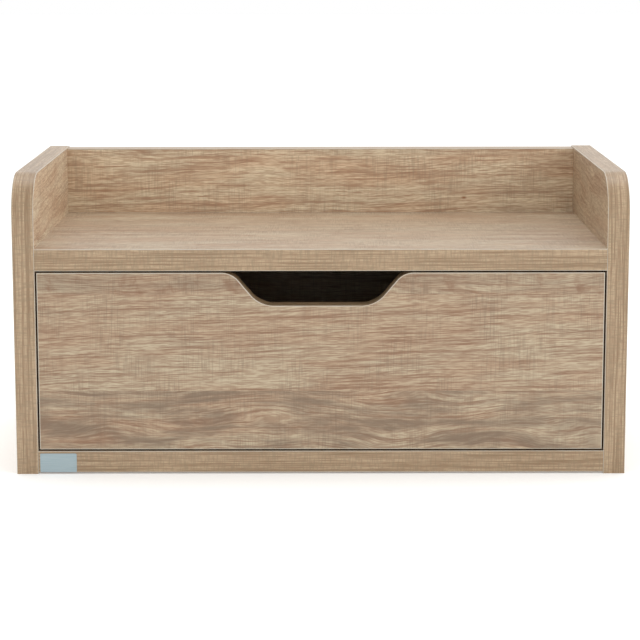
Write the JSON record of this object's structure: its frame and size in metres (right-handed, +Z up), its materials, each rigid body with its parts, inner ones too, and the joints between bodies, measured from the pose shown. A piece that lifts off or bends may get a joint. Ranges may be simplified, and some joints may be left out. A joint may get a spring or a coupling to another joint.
{
  "type": "entryway bench",
  "caption": "Low box bench with rounded side panels, a rear upstand and one wide drawer with a hand cut-out, on roller runners.",
  "frame": {"origin": "on the floor, in the middle of the footprint", "axes": "+X to the right along the bench, +Y to the back, +Z up"},
  "size_m": [0.7, 0.3503, 0.345],
  "materials": {
    "oak_board": "light oak decor melamine, fine embossed, satin",
    "oak_edging": "oak decor plastic edging, satin",
    "box_board": "light oak decor foil, matt",
    "hardboard": "lacquered hardboard, matt",
    "beech": "raw turned beech",
    "zinc": "zinc plated",
    "runner_steel": "white powder coat",
    "nylon": "moulded nylon",
    "label": "satin foil, blank"
  },
  "bodies": {
    "carcass": {"left_side_panel": "oak_board", "right_side_panel": "oak_board", "seat_panel": "oak_board", "bottom_panel": "oak_board", "upstand_panel": "oak_board", "back_panel": "hardboard", "left_side_edging": "oak_edging", "right_side_edging": "oak_edging", "seat_edging": "oak_edging", "bottom_edging": "oak_edging", "upstand_edging": "oak_edging", "label_plate": "label", "seat_cams": "zinc", "seat_cam_bolts": "zinc", "seat_dowels": "beech", "bottom_cams": "zinc", "bottom_cam_bolts": "zinc", "bottom_dowels": "beech", "upstand_cams": "zinc", "upstand_cam_bolts": "zinc", "upstand_dowels": "beech", "left_cabinet_runner": "runner_steel", "right_cabinet_runner": "runner_steel", "cabinet_runner_screws": "zinc", "cabinet_roller_axles": "zinc"},
    "drawer": {"drawer_front": "oak_board", "drawer_front_edging": "oak_edging", "drawer_left_side": "box_board", "drawer_right_side": "box_board", "drawer_back": "box_board", "drawer_bottom": "hardboard", "drawer_front_cams": "zinc", "drawer_front_bolts": "zinc", "drawer_front_dowels": "beech", "drawer_back_screws": "zinc", "left_drawer_runner": "runner_steel", "right_drawer_runner": "runner_steel", "drawer_runner_screws": "zinc", "drawer_roller_axles": "zinc"},
    "left_cabinet_roller": {"left_cabinet_roller": "nylon"},
    "right_cabinet_roller": {"right_cabinet_roller": "nylon"},
    "left_drawer_roller": {"left_drawer_roller": "nylon"},
    "right_drawer_roller": {"right_drawer_roller": "nylon"}
  },
  "joints": [
    {"name": "drawer_slide", "type": "slide", "parent": "carcass", "child": "drawer", "axis": [0, -1, 0], "range_m": [0, 0.225]},
    {"name": "left_cabinet_roller_spin", "type": "hinge", "parent": "carcass", "child": "left_cabinet_roller", "pos_m": [-0.3191, -0.137, 0.0565], "axis": [1, 0, 0], "continuous": true},
    {"name": "right_cabinet_roller_spin", "type": "hinge", "parent": "carcass", "child": "right_cabinet_roller", "pos_m": [0.3191, -0.137, 0.0565], "axis": [1, 0, 0], "continuous": true},
    {"name": "left_drawer_roller_spin", "type": "hinge", "parent": "drawer", "child": "left_drawer_roller", "pos_m": [-0.3182, 0.14, 0.0495], "axis": [1, 0, 0], "continuous": true},
    {"name": "right_drawer_roller_spin", "type": "hinge", "parent": "drawer", "child": "right_drawer_roller", "pos_m": [0.3182, 0.14, 0.0495], "axis": [1, 0, 0], "continuous": true}
  ],
  "couplings": [
    {"joint": "left_cabinet_roller_spin", "follows": "drawer_slide", "rad_per_m": 125},
    {"joint": "right_cabinet_roller_spin", "follows": "drawer_slide", "rad_per_m": 125},
    {"joint": "left_drawer_roller_spin", "follows": "drawer_slide", "rad_per_m": 125},
    {"joint": "right_drawer_roller_spin", "follows": "drawer_slide", "rad_per_m": 125}
  ]
}
